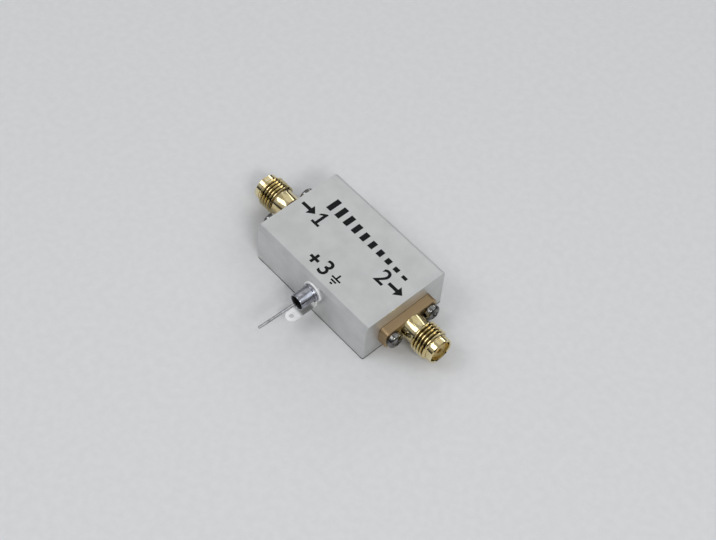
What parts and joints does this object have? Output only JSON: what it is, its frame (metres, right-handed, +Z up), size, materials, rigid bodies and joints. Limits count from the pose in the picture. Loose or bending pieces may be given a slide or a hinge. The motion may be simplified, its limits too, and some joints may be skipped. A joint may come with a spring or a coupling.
{
  "type": "rf attenuator",
  "caption": "Voltage-controlled radio-frequency attenuator: milled aluminium box with a threaded coaxial jack on each short end and a control feed-through with ground lug on a long side.",
  "frame": {"origin": "centre of the underside, where the box rests", "axes": "+X along the case towards the output jack, -Y towards the control feed-through, +Z up"},
  "size_m": [0.0496, 0.0329, 0.01],
  "materials": {
    "case_aluminium": "bead-blasted, clear satin",
    "screw_steel": "nickel-plated, bright",
    "board_laminate": "green solder mask on glass laminate",
    "gold_plated_brass": "gold-plated, turned",
    "gold_plated_contact": "gold-plated, polished",
    "white_dielectric": "waxy white fluoropolymer",
    "tinned_brass": "bright tin plate, turned",
    "tinned_wire": "bright tinned wire",
    "tinned_sheet": "bright tinned sheet",
    "tube_ceramic": "fired, matt",
    "black_epoxy": "black potting, satin",
    "moulded_package": "moulded black",
    "chip_ceramic": "fired, matt",
    "chip_resistor": "black glaze on white ceramic",
    "choke_ferrite": "ferrite, matt"
  },
  "bodies": {
    "root": {"housing": "case_aluminium", "bottom_lid": "case_aluminium", "lid_screws": "screw_steel", "board_screws": "screw_steel", "input_flange_screws": "screw_steel", "output_flange_screws": "screw_steel", "circuit_board": "board_laminate", "input_jack_body": "gold_plated_brass", "output_jack_body": "gold_plated_brass", "input_jack_contact": "gold_plated_contact", "output_jack_contact": "gold_plated_contact", "input_jack_insulator": "white_dielectric", "output_jack_insulator": "white_dielectric", "feedthrough_shell": "tinned_brass", "control_lead": "tinned_wire", "ground_lug": "tinned_sheet", "feedthrough_capacitor": "tube_ceramic", "feedthrough_seal": "black_epoxy", "diode_quad": "moulded_package", "blocking_capacitors": "chip_ceramic", "bypass_capacitors": "chip_ceramic", "bias_resistors": "chip_resistor", "rf_chokes": "choke_ferrite"}
  },
  "joints": []
}
